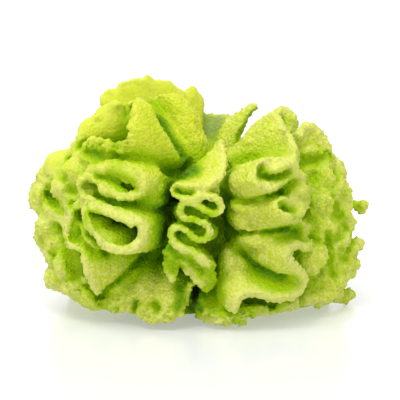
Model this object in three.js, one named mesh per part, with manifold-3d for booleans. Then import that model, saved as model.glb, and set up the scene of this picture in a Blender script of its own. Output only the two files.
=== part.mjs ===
// A dollop of wasabi paste, piped through a star nozzle.
// Soft fins stand round an upright middle. The free edge of each fin has buckled into loops and petals,
// and the fins run together into one core, so the whole dollop is one closed body with a flat underside.
// Millimetres, +Z up. The most ruffled side faces -Y. The origin is on the surface, under the middle.

import * as THREE from 'three';
import { mergeVertices } from 'three/addons/utils/BufferGeometryUtils.js';
import Module from 'manifold-3d';

// Driving dimensions.
const SHEET = 1.4; // thickness of a fin
const RUFFLE_SHEET = 1.05; // thickness of the narrow ruffle between the two front fins
const LOBE_SHEET = 2.8; // thickness of the lobes that lie on the surface
const INNER_STATION = 0.15; // where a fin starts, as a share of the way from its root to its edge
const STATIONS = [INNER_STATION, 0.6, 1]; // the rows of points across a fin
const SIDEWAYS_LEAD = 0.8; // how early a fin spreads sideways on its way out
const UPWARD_LEAD = 0.85; // how early it rises
const OUTWARD_LEAD = 0.5;
const CLEAN_UP = 0.1; // flat spots smaller than this are merged after joining
const PART_TOUCHING = 0.03; // corners that only touch draw back by this much, so the skin never meets itself
const BACK_HEIGHT = 0.66; // the hidden side is a lower and plainer copy of the front
const BACK_REACH = 1.02;

// The core: balls given by their middle and their three radii.
const CORE = [
  { middle: [0, 2, 8], radii: [10, 9, 10] },
  { middle: [1, 0, 15], radii: [6, 6, 6.5] },
  { middle: [2, 0, 0], radii: [17, 12, 4] },
  { middle: [12, -1, 9], radii: [9.5, 8.5, 10.5] },
];

// The fins. An edge is the route of the free edge in space; the root is the line that the fin grows from,
// top end first. Facing is the compass direction of the fin in degrees: 0 is -Y and 90 is +X.
// A fourth number at an edge point is how far the fin bellies out behind that point.
const RUFFLE = {
  facing: 0,
  sheet: RUFFLE_SHEET,
  root: [[2.5, -9.5, 25], [-2.5, -14, 21], [0, -4.5, 17], [0, -4, 14], [0, -4, 11], [0, -4, 7]],
  edge: [
    [3.3, -12, 26.7], [4, -15.5, 24.3], [3.7, -18, 22.6], [1.4, -20, 21.2], [-1.9, -21, 21.5],
    [-3.4, -21, 21], [-1.7, -21.3, 20.2], [2, -21.3, 20], [3.3, -21.2, 18.6], [1.8, -21.2, 17.8],
    [-1.4, -21.2, 19.4], [-2.6, -21.2, 18], [-1, -21.2, 16.9], [1.4, -21.2, 15.9], [1, -21, 14],
    [-0.9, -21, 14.5], [-3, -21, 15.7], [-3.5, -21, 14], [-0.8, -20.7, 12.3], [2, -20, 9.8],
    [-0.5, -19.7, 9.2], [-2.4, -19.3, 10], [-3.8, -18.8, 9], [-3.7, -18.5, 7.5],
  ],
};

const LEFT_FIN = {
  facing: -38,
  sheet: SHEET,
  root: [[1, -11, 22.5], [-1.5, -13, 21.5], [-0.5, -5, 18], [-0.5, -4, 16], [-0.5, -4, 12], [-0.5, -5, 10.5]],
  edge: [
    [1.5, -8.5, 24.5], [0.5, -9, 27.5], [-1.5, -9.5, 31.5], [-4.5, -9, 33], [-6.5, -9, 32],
    [-9, -15.5, 32.5, 0.4], [-9.3, -18.5, 29.5, 0.4], [-11, -19, 26.7, 0.4], [-15.5, -13, 26.5, 0.4],
    [-17, -12, 24.5, 0.4], [-16.3, -13, 22.8, 0.4], [-12, -18, 24.2, 0.4], [-9, -20.5, 23.8, 0.4],
    [-8, -21, 22, 0.4], [-9.5, -21, 20.2, 0.4], [-12.7, -19.3, 20.8, 0.4], [-16, -15, 21.8, 0.4],
    [-17, -14.5, 20, 0.4], [-15.5, -16, 18.7, 0.4], [-11, -20.3, 17.8, 0.4], [-8.3, -22, 16, 0.4],
    [-9, -22.2, 13.3, 0.6], [-12.5, -21, 12.8, 0.8], [-15.5, -18.7, 15.2, 0.6], [-16.4, -16, 17.8, 0.4],
    [-18.3, -14, 16.5, 0.4], [-19, -14, 13.3, 0.4], [-17.5, -16.3, 12, 1], [-16.3, -17.3, 9.7, 1.6],
    [-15.9, -17, 7.5, 1.6], [-14.7, -15.5, 4.8, 1.4],
  ],
};

const RIGHT_FIN = {
  facing: 30,
  sheet: SHEET,
  root: [[4, -9, 23], [5, -10, 22], [3.7, -5.5, 18.5], [4, -6, 15], [4, -7, 12], [4, -8, 10.5], [3.6, -8.5, 9.7]],
  edge: [
    [5, -8, 23.5, -1], [7.5, -8.5, 25.8, -1.2], [9.6, -9, 28.5, -0.9], [11.3, -9.5, 30], [12.6, -12, 28],
    [14, -14.5, 25.6], [13, -17.3, 24.2], [10.8, -19.5, 24.8, 0.5], [9, -20.7, 24.2], [9, -21, 22.3, -1.5],
    [10.8, -20, 21.8, -2], [13, -17, 22.5, -1], [15.5, -14, 21], [15.4, -14.5, 18.9], [13, -18.3, 19],
    [12, -20, 18.4, -1.2], [12.4, -20, 17.4, -2.2], [14.3, -16, 16, -1.6], [15.3, -13.8, 13.8],
    [16.5, -14.5, 12], [14, -18, 12.3, -0.5], [13, -19, 11.2, -1.8], [14, -18.3, 9.8, -2.2],
    [15.5, -16.7, 7.3, -0.6], [14.5, -17, 5, -0.5], [11, -18, 4.3, -0.9], [7.8, -19.2, 5.3, -1.3],
    [5.7, -19.6, 4.2, -1.3], [5.5, -19, 2.6, -1],
  ],
};

const TOP_PETALS = [
  {
    facing: -55,
    sheet: SHEET,
    root: [[-1, -3, 21.5], [-4, -4, 18]],
    edge: [[-9.3, -8, 31.5], [-12.2, -9.5, 31.4], [-13.9, -10, 29.3], [-17, -10.5, 27.8], [-18.4, -9.5, 25.4],
      [-16.8, -12, 24.7]],
  },
  {
    facing: -110,
    sheet: SHEET,
    root: [[-3, -1, 19], [0, 1, 20]],
    edge: [[-13, -4, 28.4], [-14, -2, 31.6], [-10.7, 0.5, 33], [-7.8, 2, 33.4], [-6.7, 3, 31.7]],
  },
  {
    facing: -175,
    sheet: SHEET,
    root: [[-2, 2, 18], [2, 4, 17.5]],
    edge: [[-6.8, 2.5, 31.6], [-5.3, 3.5, 32.7], [-2.2, 5.5, 30.4], [-1, 7, 31], [0.2, 8, 28.5], [2, 9, 26.5],
      [5, 8, 26.3]],
  },
  {
    facing: 150,
    sheet: SHEET,
    root: [[2, 1, 20.5], [4.4, -1, 20.7]],
    edge: [[4, 4, 25.7], [7, 3.5, 28.3], [8.7, 2.5, 29.2]],
  },
  {
    facing: 100,
    sheet: SHEET,
    root: [[5, -1, 20], [6.5, -1, 19]],
    edge: [[11.8, -3, 27.8], [12.8, -1, 29.2], [14.4, 0.5, 27.9], [14.4, -1.5, 26]],
  },
  {
    facing: 55,
    sheet: SHEET,
    root: [[11.8, -8, 22.9], [13.3, -9, 21.6]],
    edge: [[14.4, -9, 26.9], [16.2, -7, 28.2], [18.7, -6.2, 25.2], [19, -8.5, 23.3]],
  },
];

const LEFT_SIDE = {
  facing: -75,
  sheet: SHEET,
  root: [[-6, -3, 18.5], [-6, -3, 4]],
  edge: [
    [-17.8, -10, 24.5], [-21.4, -7, 22.4], [-22.8, -6, 19.4], [-19.8, -10, 21.7], [-19, -10.5, 20.3],
    [-22, -8.5, 19.5], [-24.5, -5.5, 17.5], [-23.2, -7, 15], [-20, -11.5, 14.7], [-23.2, -8, 13.9],
    [-23.6, -7.5, 10.7], [-21.2, -9, 7.6], [-21.4, -8, 5.5], [-18.5, -11, 4.5], [-16, -14, 6.5],
  ],
};

const RIGHT_SIDE = {
  facing: 80,
  sheet: LOBE_SHEET,
  root: [[7, -4, 17.5], [7, -4, 3]],
  edge: [
    [18.5, -7, 22], [20.6, -4.5, 21], [22, -4, 16.5], [23, -4, 13], [23.6, -4, 9.5], [23.2, -4, 6.5],
    [21.8, -5.5, 4], [20, -6, 2],
  ],
};

const LYING_LOBES = [
  {
    facing: -15,
    sheet: LOBE_SHEET,
    root: [[-7.5, -4, 8], [-4.5, -6.5, 9]],
    edge: [[-15.2, -10.5, 2.6], [-11.8, -13.5, 2], [-8, -15.7, 2], [-5, -17, 1.8], [-2.7, -16.3, 4.5]],
  },
  {
    facing: 10,
    sheet: LOBE_SHEET,
    root: [[1, -8, 8.5], [4, -8, 8]],
    edge: [[-0.4, -15.5, 3.5], [2, -17, 1.5], [6.5, -17.4, 1.3]],
  },
  {
    facing: 40,
    sheet: LOBE_SHEET,
    root: [[3, -6, 5], [8, -3, 5]],
    edge: [[5.6, -17.3, 1.8], [11.2, -15.3, 1.6], [15.2, -12, 2], [19.3, -7, 1.9]],
  },
];

// The same fin turned half round the middle, lower and a little wider, with every other bend of its edge.
function turnedToBack(fin) {
  const moved = ([x, y, z, belly = 0]) => [-x * BACK_REACH, -y * BACK_REACH, z * BACK_HEIGHT, belly];
  const edge = fin.edge.filter((_, i) => i % 2 === 0).map(moved);
  return { ...fin, facing: fin.facing + 180, root: fin.root.map(moved), edge };
}

const FINS = [
  RUFFLE, LEFT_FIN, RIGHT_FIN, ...TOP_PETALS, LEFT_SIDE, RIGHT_SIDE, ...LYING_LOBES,
  ...[RUFFLE, LEFT_FIN, RIGHT_FIN, LEFT_SIDE, RIGHT_SIDE].map(turnedToBack),
];

const vector = ([x, y, z]) => new THREE.Vector3(x, y, z);

// One line across the fin, from its root to a point of its edge: it first spreads, then runs straight out.
function acrossFin(fin, tip, share) {
  const rootLine = new THREE.CatmullRomCurve3(fin.root.map(vector));
  const start = rootLine.getPoint(share);
  const outward = new THREE.Vector3(0, -1, 0).applyAxisAngle(
    new THREE.Vector3(0, 0, 1), THREE.MathUtils.degToRad(fin.facing));
  const way = tip.clone().sub(start);
  const forward = outward.clone().multiplyScalar(way.dot(outward));
  const rest = way.clone().sub(forward);
  const bend = start.clone()
    .addScaledVector(forward, OUTWARD_LEAD)
    .add(new THREE.Vector3(rest.x * SIDEWAYS_LEAD, rest.y * SIDEWAYS_LEAD, rest.z * UPWARD_LEAD));
  const line = new THREE.QuadraticBezierCurve3(start, bend, tip);
  return STATIONS.map((t) => line.getPoint(t));
}

// The direction that stands on the sheet at row k and station j.
function sheetNormal(rows, k, j) {
  const before = rows[Math.max(k - 1, 0)][j];
  const after = rows[Math.min(k + 1, rows.length - 1)][j];
  const inner = rows[k][Math.max(j - 1, 0)];
  const outer = rows[k][Math.min(j + 1, STATIONS.length - 1)];
  return after.clone().sub(before).cross(outer.clone().sub(inner)).normalize();
}

// The strip of the fin between two neighbouring lines, as a closed block with the sheet's thickness.
function stripGeometry(rows, normals, k, thickness) {
  const last = STATIONS.length - 1;
  const positions = [];
  for (const side of [0.5, -0.5]) {
    for (const row of [k, k + 1]) {
      for (let j = 0; j <= last; j += 1) {
        const p = rows[row][j].clone().addScaledVector(normals[row][j], side * thickness);
        positions.push(p.x, p.y, p.z);
      }
    }
  }
  const id = (below, row, j) => (below * 2 + row) * (last + 1) + j;
  const index = [];
  const quad = (a, b, c, d) => index.push(a, b, c, a, c, d);
  for (let j = 0; j < last; j += 1) {
    quad(id(0, 0, j), id(0, 1, j), id(0, 1, j + 1), id(0, 0, j + 1));
    quad(id(1, 0, j), id(1, 0, j + 1), id(1, 1, j + 1), id(1, 1, j));
    quad(id(0, 0, j), id(0, 0, j + 1), id(1, 0, j + 1), id(1, 0, j));
    quad(id(0, 1, j), id(1, 1, j), id(1, 1, j + 1), id(0, 1, j + 1));
  }
  quad(id(0, 0, 0), id(1, 0, 0), id(1, 1, 0), id(0, 1, 0));
  quad(id(0, 0, last), id(0, 1, last), id(1, 1, last), id(1, 0, last));
  const geometry = new THREE.BufferGeometry();
  geometry.setAttribute('position', new THREE.Float32BufferAttribute(positions, 3));
  geometry.setIndex(index);
  return geometry;
}

function finGeometries(fin) {
  const count = fin.edge.length;
  const flat = fin.edge.map((tip, k) => acrossFin(fin, vector(tip), k / (count - 1)));
  const normals = flat.map((row, k) => row.map((_, j) => sheetNormal(flat, k, j)));
  const rows = flat.map((row, k) => row.map((p, j) => {
    const belly = (fin.edge[k][3] ?? 0) * Math.sin(Math.PI * STATIONS[j]);
    return p.clone().addScaledVector(normals[k][j], -belly);
  }));
  return rows.slice(1).map((_, k) => stripGeometry(rows, normals, k, fin.sheet));
}

function coreGeometry({ middle, radii }) {
  return new THREE.SphereGeometry(1, 28, 16).rotateX(Math.PI / 2).scale(...radii).translate(...middle);
}

const wasm = await Module();
wasm.setup();

function solid(geometry) {
  const plain = geometry.clone();
  plain.deleteAttribute('normal');
  plain.deleteAttribute('uv');
  const merged = mergeVertices(plain);
  return new wasm.Manifold(new wasm.Mesh({
    numProp: 3,
    vertProperties: new Float32Array(merged.attributes.position.array),
    triVerts: new Uint32Array(merged.index.array),
  }));
}

function toGeometry(body) {
  const mesh = body.getMesh();
  const geometry = new THREE.BufferGeometry();
  geometry.setAttribute('position', new THREE.BufferAttribute(new Float32Array(mesh.vertProperties), 3));
  geometry.setIndex(new THREE.BufferAttribute(new Uint32Array(mesh.triVerts), 1));
  geometry.computeVertexNormals();
  return geometry;
}

// Where two corners of the skin lie on one point, each draws back into its own side.
function partTouchingCorners(geometry) {
  const { position, normal } = geometry.attributes;
  const corners = new Map();
  for (let i = 0; i < position.count; i += 1) {
    const key = [position.getX(i), position.getY(i), position.getZ(i)].map((v) => v.toFixed(3)).join();
    corners.set(key, [...(corners.get(key) ?? []), i]);
  }
  const touching = [...corners.values()].filter((group) => group.length > 1).flat();
  for (const i of touching) {
    const p = new THREE.Vector3().fromBufferAttribute(position, i);
    const n = new THREE.Vector3().fromBufferAttribute(normal, i);
    p.addScaledVector(n, -PART_TOUCHING);
    position.setXYZ(i, p.x, p.y, p.z);
  }
  return geometry;
}

// All the paste joined, cut flat where it lies on the surface, without the small sealed voids inside.
function pasteGeometry() {
  const blocks = [...CORE.map(coreGeometry), ...FINS.flatMap(finGeometries)].map(solid);
  const joined = blocks.reduce((sum, block) => sum.add(block));
  const below = solid(new THREE.BoxGeometry(200, 200, 50).translate(0, 0, -25));
  const pieces = joined.subtract(below).simplify(CLEAN_UP).decompose();
  pieces.sort((a, b) => b.volume() - a.volume());
  return partTouchingCorners(toGeometry(pieces[0]));
}

const paste = new THREE.Mesh(
  pasteGeometry(),
  new THREE.MeshStandardMaterial({ color: 0xa9c437, roughness: 0.6, metalness: 0 }),
);
paste.name = 'wasabi_paste';

const group = new THREE.Group();
group.add(paste);

export default group;
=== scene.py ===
import math

import bmesh
import bpy
import numpy as np
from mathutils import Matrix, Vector, kdtree, noise
from mathutils.bvhtree import BVHTree


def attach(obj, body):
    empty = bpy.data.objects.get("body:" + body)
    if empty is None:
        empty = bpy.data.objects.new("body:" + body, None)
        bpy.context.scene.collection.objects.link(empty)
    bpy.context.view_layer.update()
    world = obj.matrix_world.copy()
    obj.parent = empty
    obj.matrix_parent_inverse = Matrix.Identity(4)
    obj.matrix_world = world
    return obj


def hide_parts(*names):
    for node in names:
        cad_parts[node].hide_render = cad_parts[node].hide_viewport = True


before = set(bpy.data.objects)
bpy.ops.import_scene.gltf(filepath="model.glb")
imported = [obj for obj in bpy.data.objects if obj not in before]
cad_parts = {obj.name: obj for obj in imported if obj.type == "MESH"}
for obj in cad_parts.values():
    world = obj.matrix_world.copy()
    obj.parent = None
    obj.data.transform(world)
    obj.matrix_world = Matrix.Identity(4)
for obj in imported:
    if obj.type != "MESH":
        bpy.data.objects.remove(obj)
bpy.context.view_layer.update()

# A ruffled dollop of piped wasabi paste. Lengths are in millimetres until the paste is finished, and
# then it is scaled to metres once. +Z is up and the ruffle between the two front fins faces -Y.

MM = 0.001

# The front view that the folds are drawn on. A drawn point is (steps to the right, steps down, its Y in
# mm, fullness). Fullness, which may be left out, is how far the fin bellies out behind that point, in mm.
GRID_STEP = 0.148  # mm between two lines of the drawing
SHEET_MIDDLE = 200  # the line of the drawing that runs through its middle
VIEW_TILT = math.radians(11.5)  # how far the front view looks down
VIEW_DISTANCE = 380.0
VIEW_TARGET = Vector((0.3, 0.0, 15.4))
VIEW_PLACE = VIEW_TARGET + Vector((0, -math.cos(VIEW_TILT), math.sin(VIEW_TILT))) * VIEW_DISTANCE
SIGHT_ROUNDS = 12  # enough for a drawn point's place and its nearness to agree
LOWEST_POINT = 0.4  # drawn points stay this far above the table, in mm

# Paste. Lengths are in mm.
EDGE_STEP = 0.3  # spacing of the points along a fin's edge
RULING_STEP = 0.45  # and across the fin, from its root to its edge
FEWEST_ROWS = 6
OUTWARD_LEAD = 0.5  # how early a fin runs outwards on its way from root to edge
SIDEWAYS_LEAD = 0.8
UPWARD_LEAD = 0.85
BELLY_SHAPE = 1.35  # puts the fullest part of a belly beyond the middle of the fin
LIP_STEP = 0.4  # spacing of the balls along a rolled lip
SKIN_VOXEL = 0.25
SKIN_TRIANGLES = 195000
SKIN_SMOOTHING = 2


def from_drawing(point, full=0.0):
    """The place in space of a drawn point: where the line of sight through it meets its own Y."""
    across, down, depth = point[:3]
    if len(point) > 3:
        full = point[3]
    cosine, sine = math.cos(VIEW_TILT), math.sin(VIEW_TILT)
    nearness = 1.0
    for _ in range(SIGHT_ROUNDS):
        x = (across - SHEET_MIDDLE) * GRID_STEP / nearness + VIEW_TARGET.x
        up = (SHEET_MIDDLE - down) * GRID_STEP / nearness
        z = (up - depth * sine) / cosine + VIEW_TARGET.z
        towards = -depth * cosine + (z - VIEW_TARGET.z) * sine
        nearness = VIEW_DISTANCE / (VIEW_DISTANCE - towards)
    return (x, depth, max(z, LOWEST_POINT), full)


def drawn(points, full=0.0):
    """The places of drawn points. Full is the fullness of those that state none."""
    return [from_drawing(p, full) for p in points]


# The fins. The edge is the route of a fin's free edge, the root the line that it grows from, both from
# their top end. Facing is the way the fin points, in degrees: 0 is -Y and 90 is +X.
FINS = []
BACK_REACH = 0.94  # the copies on the far side are a little narrower
BACK_SEEDS = 100  # and are torn in another way


def add_fin(name, edge, root, facing, thickness=1.2, ragged=0.3, bulge=(0, 0, 0), back=None):
    """Back is the height of the fin's copy on the far side, as a share of its own, or None for no copy."""
    fin = {
        "name": name, "edge": edge, "root": root, "facing": facing, "thickness": thickness,
        "ragged": ragged, "bulge": bulge, "seed": len(FINS) + 1,
    }
    FINS.append(fin)
    if back is not None:
        def turned(p):
            return (-p[0] * BACK_REACH, -p[1], p[2] * back) + tuple(p[3:])

        FINS.append(fin | {
            "edge": [turned(p) for p in edge], "root": [turned(p) for p in root], "facing": facing + 180,
            "bulge": (-bulge[0], -bulge[1], bulge[2]), "seed": len(FINS) + 1 + BACK_SEEDS,
        })


# The narrow ruffle in the middle of the front: a petal on top, then loops one under the other.
add_fin("ruffle", drawn([
    (221, 139, -12), (225, 150, -14), (227, 164, -16), (224, 175, -18), (217, 183, -19), (208, 188, -20),
    (196, 188.5, -20.7), (184, 187.5, -21), (176, 186.5, -21), (173.5, 190, -21), (176, 195, -21.2),
    (186, 197, -21.3), (200, 197, -21.3), (212, 198, -21.3), (219.5, 202, -21.2), (221.5, 208, -21.2),
    (218, 213.5, -21.2), (211, 213.5, -21.2), (204, 209.5, -21.2), (196, 204.5, -21.2), (188, 202, -21.2),
    (181.5, 205, -21.2), (179.5, 212, -21.2), (183, 218, -21.2), (192, 220, -21.2), (201, 222.5, -21.2),
    (208, 227, -21.2), (209.5, 234, -21.2), (205, 240, -21), (197, 240.5, -21), (191.5, 236.5, -21),
    (186, 230.5, -21), (179, 227.5, -21), (172.5, 229, -21), (170.5, 235, -21), (174, 242, -21),
    (182, 247.5, -21), (192, 251, -20.7), (200, 256, -20.5), (207, 262, -20), (213, 267, -20),
    (206, 270, -19.8), (197, 271, -19.7), (188, 269, -19.5), (181, 264, -19.3), (174, 264, -19),
    (170.5, 270, -18.8), (171.5, 281, -18.5),
]), root=drawn([(216, 147, -12), (200, 161, -14.5), (181, 180, -17.3)]) + [(0, -4.5, 17)]
    + [(0, -4, z) for z in (15, 13, 11, 9, 7)], facing=0, thickness=0.95, ragged=0.1, back=0.78)
# Its torn lower end hangs in a short apron with a strip below it.
add_fin("ruffle_apron", drawn([
    (166, 248, -19.3), (163, 260, -19), (166, 271, -18.6), (171, 282, -18.3), (175, 273, -18.5),
    (180, 266, -18.8), (186, 269, -19), (192, 276, -18.8), (198, 284, -18.6), (205, 290, -18.3),
    (211, 288, -18), (216, 281, -17.8), (214, 272, -18.5),
]), root=drawn([(169, 241, -19.5), (182, 249, -19.7), (196, 256, -19.5), (210, 265, -19)]), facing=0,
    thickness=0.9, ragged=0.15)
add_fin("ruffle_strip", drawn([
    (197, 281, -18), (190, 285, -17.8), (187, 292, -17.3), (185.5, 299, -16.8), (185, 305, -16.3),
]), root=[(0, -8, 9), (-0.5, -8, 6)], facing=-5, thickness=0.9, ragged=0.15, back=0.78)

# The left fin: a tall petal, then two long loops and a rounded lobe.
add_fin("left_fin", drawn([
    (206, 152, -8.5, 0.3), (202, 145, -8.7, 0.3), (197, 131, -9, 0.3), (192, 116, -9.2, 0.3),
    (185, 104, -9.3, 0.3), (177, 97, -9.3, 0.3), (168, 94, -9.3, 0.3), (160, 95, -8.7, 0.2),
    (153, 97.5, -8.3, 0), (147, 99.5, -9.3, 0), (141, 100.5, -12, 0.2), (134, 103, -15.5),
    (131.5, 113, -17.5), (131, 128, -19), (127, 140, -19.5), (119, 147.5, -18.8), (110, 146, -17.5),
    (99, 144.5, -15.5), (88, 142, -13), (81, 149, -12.2), (79, 159, -12.2), (83, 168, -13), (92, 169, -15),
    (104, 165.5, -17), (117, 164.5, -18.7), (130, 168, -20), (140.5, 178, -21), (139, 190, -21.2),
    (129, 196, -21), (118, 195.5, -20.3), (107, 189.5, -19.3), (97, 180, -17), (86, 177, -15),
    (79, 184, -14.3), (80, 193, -14.6), (87, 200, -16), (100, 205.5, -18.5), (119, 212, -20.3),
    (133, 219, -21.5), (140, 229, -22), (138, 241, -22.2, 0.6), (127, 249, -22, 0.8), (113, 249, -21.2, 1),
    (98, 240, -20, 1), (88, 228, -18.7, 0.7), (84, 215, -17.3), (82.5, 206, -16), (77, 204, -15),
    (71, 211, -14.2), (68, 222, -14), (65, 234, -14), (66.5, 244, -14.8, 0.8), (75, 246, -16.3, 1.2),
    (81, 252, -17, 1.6), (83, 264, -17.3, 1.8), (86, 276, -17, 1.8), (90, 286, -16.3, 1.6),
    (95, 294, -15.5, 1.4),
], full=0.5), root=drawn([(209, 160, -10), (200, 172, -12.5), (188, 175, -13), (183, 176, -11)])
    + [(-0.5, -4, z) for z in (18, 16, 14, 11.5)] + [(-0.5, -5, 10.5)], facing=-38, thickness=1.25,
    ragged=0.15, back=0.6)

# The right fin: a hollow petal on top, three full fingers and a broad dish at the bottom.
add_fin("right_fin", drawn([
    (236, 158, -8, -1), (246, 152, -8.5, -1.2), (254, 144, -8.5, -1.2), (261, 136, -8.8, -1.1),
    (267, 127, -9, -0.9), (272.5, 119, -9.2, -0.6), (277.5, 115.5, -9.5, -0.4), (282, 119, -10.5, -0.2),
    (286.5, 130, -12, 0), (292, 141, -13, 0), (297, 150, -14.5, 0), (296.5, 159, -16, 0),
    (291, 165, -17.3, 0), (283, 163, -18.6, 0.3), (275, 162, -19.5, 0.5), (267, 162.5, -20, 0.5),
    (262.5, 166, -20.7, 0.2), (261, 173, -21, -0.6), (262, 181, -21, -1.5), (267, 185, -20.7, -2),
    (275, 184, -20, -2), (283, 179, -18.8, -1.8), (291, 174, -17, -1.1), (300, 175, -15, -1.6),
    (307, 181, -14, -2.2), (309, 189, -13.7, -2.6), (306, 197, -14.5, -2), (298, 200, -16.5, -0.6),
    (290, 200.5, -18.3, 0), (284, 203, -19.7, -0.6), (282.5, 208, -20.2, -1.4), (286, 213, -20, -2.2),
    (293, 215.5, -18.5, -2.4), (299, 218.5, -16, -2.4), (303, 223, -14.3, -2.4), (305, 230, -13.8, -2.4),
    (304, 238, -13.8, -1.8), (308, 241.5, -13.8, -0.8), (313.5, 244, -14.5, -0.4), (309, 247.5, -15.7, 0),
    (300, 246, -17.3, -0.2), (294, 248, -18.5, -0.8), (291.5, 253, -19, -1.4), (291, 258, -19, -2),
    (296, 264, -18.5, -2.6), (302, 271, -17.5, -1.9), (307, 279, -16.7, -1.6), (306, 288, -16.5, -1.8),
    (300, 295, -17, -2.2), (289, 300, -17.7, -1.8), (276, 300.5, -18.4, -1.6), (267, 298.5, -18.9, -1.4),
    (258, 296.5, -19.2, -1.2), (248, 296, -19.5, -1.4), (241, 299, -19.8, -1.5), (238, 307, -19.6, -1.2),
    (237, 313, -19, -1),
]), root=drawn([(226, 161, -9), (232, 166, -10.5), (230, 174, -8.5), (223, 187, -5.5), (222, 198, -5.5),
    (224, 212, -6), (226, 226, -6.5), (227, 236, -7), (226, 243, -8), (223, 250, -8.5)]), facing=30,
    thickness=1.35, ragged=0.15, back=0.78)
add_fin("right_fin_outer_rim", drawn([
    (309, 189, -13.8), (309, 198, -14), (307, 206, -14.6), (302, 215, -15.6),
]), root=drawn([(270, 190, -10), (268, 202, -10)]), facing=50, ragged=0.1)

# The lobes that lie at the foot.
add_fin("foot_left", drawn([
    (93, 301, -10.5), (104, 308, -12.5), (116, 310, -13.5), (127, 311, -14.5), (134, 305, -15),
    (138, 307, -15.3), (141, 316, -15.7), (150, 320, -16.5), (162, 320, -17), (172, 316, -16.8),
    (178, 308, -16.3), (180, 298, -16.3),
]), root=drawn([(146, 252, -3), (158, 247, -4), (168, 250, -6)]), facing=-15, thickness=2.2,
    bulge=(0.3, -4, 1.8), back=0.78)
add_fin("foot_middle", drawn([
    (195, 303, -15.5), (203, 314, -16), (212, 321, -17), (222, 322, -17.5), (236, 322, -17.5),
    (247, 319, -17.2),
]), root=[(1, -8, 8.5), (4, -8, 8)], facing=10, thickness=2.3, ragged=0.7, bulge=(0, -0.6, 0.6), back=0.78)
add_fin("foot_right", drawn([
    (237, 314, -17.5), (250, 313, -16.8), (262, 311.5, -16.3), (276, 310, -15.3), (290, 306, -13.8),
    (303, 302, -12), (315, 299, -10), (328, 296, -7),
]), root=[(3, -6, 3.6), (8, -3, 3.6)], facing=40, thickness=1.7, ragged=1, back=0.78)

# The petals on top.
add_fin("top_left_petal", drawn([
    (133, 101, -8), (127, 103.5, -8.5), (120, 102.5, -9), (113, 104, -9.5), (109, 110, -9.7),
    (107.5, 118, -9.3), (101, 118.5, -10), (95, 118, -10), (90, 121.5, -10), (85, 126.5, -10),
    (80, 130, -10.5), (78, 137, -11), (74, 142, -10.5), (70, 145, -9.5), (73, 151, -10), (80, 153, -12),
]), root=[(-1, -3, 21.5), (-2, -3, 20), (-4, -4, 18)], facing=-55, thickness=1.1, bulge=(0.5, 1.5, -1.5),
    ragged=0.5, back=0.6)
add_fin("crown_petal", drawn([
    (109, 118, -4), (104, 110, -3.5), (101, 101, -3), (102, 94, -2), (108, 89, -1), (116, 88, -0.5),
    (119, 83, 0), (125, 83.5, 0.5), (129, 79, 1), (137, 78, 1.5), (145, 77.5, 2), (150, 83, 2.5),
    (153, 88, 3),
]), root=[(-3, -1, 19), (-2, 1, 19), (0, 1, 20)], facing=-110, ragged=0.5, bulge=(0, 1, 0))
add_fin("crown_back", drawn([
    (150, 92, 2), (155, 82, 3), (162, 81, 3.5), (168, 82, 4), (170, 86, 4.5), (177, 89, 5), (183, 94, 5.5),
]), root=[(-2, 1, 19), (0, 2, 18)], facing=-170)
add_fin("crown_tip", drawn([
    (182, 97, 6), (187, 90, 6.5), (191, 87, 7), (196, 93, 7.5), (200, 99, 8), (199, 107, 8),
    (196, 112, 7.5),
]), root=[(-1, 3, 18), (0, 3, 18)], facing=-175)
add_fin("back_wall", drawn([
    (192, 118, 8), (200, 114, 8.5), (208, 115, 9), (216, 117, 9), (225, 116, 8.5), (232, 118, 8),
]), root=[(-0.5, 4, 17.5), (2, 4, 17.5)], facing=175, thickness=1.3)
add_fin("flap", drawn([
    (225, 127, 4), (231, 119.5, 4), (238, 115, 4), (245, 110, 3.5), (252, 106.5, 3), (257, 105, 2.5),
    (257, 109, 2),
]), root=drawn([(212, 165, 1), (220, 168, 0), (228, 166, -1)]), facing=150, thickness=1.1, ragged=0.15)
add_fin("right_back_petal", drawn([
    (279, 121, -3), (281, 112, -2), (285, 109, -1), (291, 110, 0), (296, 116, 0.5), (298, 124, 0.5),
    (296, 129, -1), (292, 131, -3),
]), root=[(5, -1, 20), (6.5, -1, 19)], facing=100)
add_fin("right_petal", drawn([
    (298, 134, -9), (303, 127, -8), (310, 122.5, -7), (316, 126, -6.5), (322, 133, -6.2), (327, 142, -6.2),
    (331, 151, -7), (329, 158, -8.5),
]), root=drawn([(280, 160, -8), (283, 166, -9), (290, 170, -9)]), facing=55, bulge=(0, 0.3, -0.6))

# The right side: one broad broken surface.
add_fin("right_side", drawn([
    (324, 158, -7), (328, 155, -5), (333, 166, -4.5), (338, 179, -4), (341, 188, -4), (344, 201, -4),
    (347, 214, -4), (351, 221, -4), (350, 229, -4.5), (347, 236, -5), (340, 239, -7),
]), root=[(7, -5, 17.5), (7, -5, 9)], facing=80, thickness=2.4, bulge=(1, -4, 0), ragged=0.8, back=0.85)
add_fin("right_side_foot", drawn([
    (341, 238, -5), (350, 241, -4), (357, 243, -3.5), (361, 248, -3.5), (356, 253, -4), (359, 259, -4),
    (355, 264, -4), (355, 270, -4), (348, 276, -5), (341, 277, -5.5), (337, 285, -5), (332, 296, -6),
]), root=[(7, -5, 11), (7, -5, 3)], facing=80, thickness=1.8, ragged=1, bulge=(1, -3.5, 0), back=0.85)
add_fin("right_side_sliver", drawn([
    (305, 218, -12.5), (305.5, 226, -12.8), (304.5, 234, -12.8), (301, 240, -12.5),
]), root=[(6, -6, 14), (6, -6, 11)], facing=50, thickness=1)

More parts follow.
